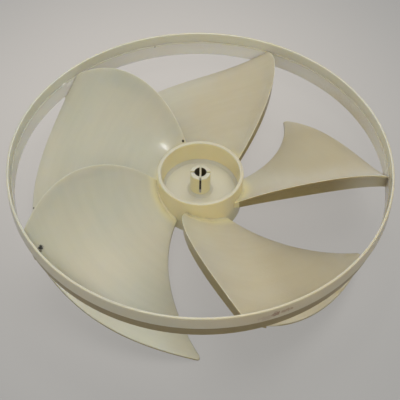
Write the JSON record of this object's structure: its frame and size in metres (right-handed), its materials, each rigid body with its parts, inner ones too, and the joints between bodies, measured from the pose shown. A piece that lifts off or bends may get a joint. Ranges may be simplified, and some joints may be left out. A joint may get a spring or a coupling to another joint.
{
  "type": "axial fan wheel",
  "caption": "One-piece moulded axial fan wheel for an air conditioner: swept, cambered blades run from a cup hub with a split shaft boss to a thin stepped outer ring.",
  "frame": {"origin": "on the axis of rotation, in the plane the blade tips stand on", "axes": "+Z along the axis of rotation, towards the open cup of the hub; +X and +Y across the wheel"},
  "size_m": [0.4023, 0.4024, 0.1117],
  "materials": {
    "cream_plastic": "satin natural cream polypropylene"
  },
  "bodies": {
    "root": {"fan_wheel": "cream_plastic"}
  },
  "joints": []
}
